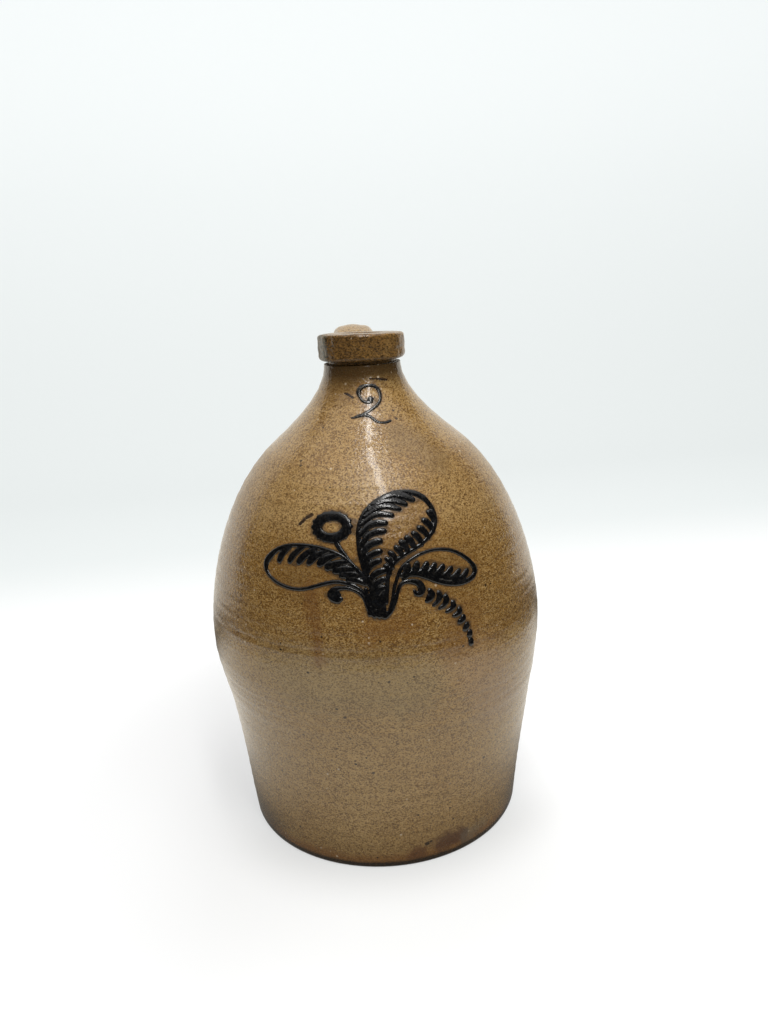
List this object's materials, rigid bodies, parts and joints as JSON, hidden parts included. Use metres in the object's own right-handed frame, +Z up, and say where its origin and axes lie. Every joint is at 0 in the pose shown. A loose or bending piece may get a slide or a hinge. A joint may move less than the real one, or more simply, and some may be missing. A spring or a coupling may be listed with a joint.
{
  "type": "stoneware jug",
  "caption": "Ovoid salt-glazed stoneware jug with a narrow collared mouth, a strap handle behind it and a trailed cobalt leaf spray on the front.",
  "frame": {"origin": "centre of the foot, on the surface that the jug stands on", "axes": "+Z up along the jug's axis through the mouth, the spray faces -Y and the handle is on the +Y side"},
  "size_m": [0.232, 0.232, 0.3441],
  "materials": {
    "salt_glazed_clay": "salt glaze, brown-grey, orange peel gloss",
    "salt_glazed_collar": "salt glaze, brown, glossy",
    "salt_glazed_strap": "salt glaze, light brown, glossy",
    "cobalt_slip": "cobalt slip under salt glaze, blue-black, glossy"
  },
  "bodies": {
    "root": {"thrown_body": "salt_glazed_clay", "collar": "salt_glazed_collar", "strap_handle": "salt_glazed_strap", "cobalt_left_leaf": "cobalt_slip", "cobalt_centre_leaf": "cobalt_slip", "cobalt_right_leaf": "cobalt_slip", "cobalt_flower": "cobalt_slip", "cobalt_left_curl": "cobalt_slip", "cobalt_stem_bundle": "cobalt_slip", "cobalt_tail_frond": "cobalt_slip"}
  },
  "joints": []
}
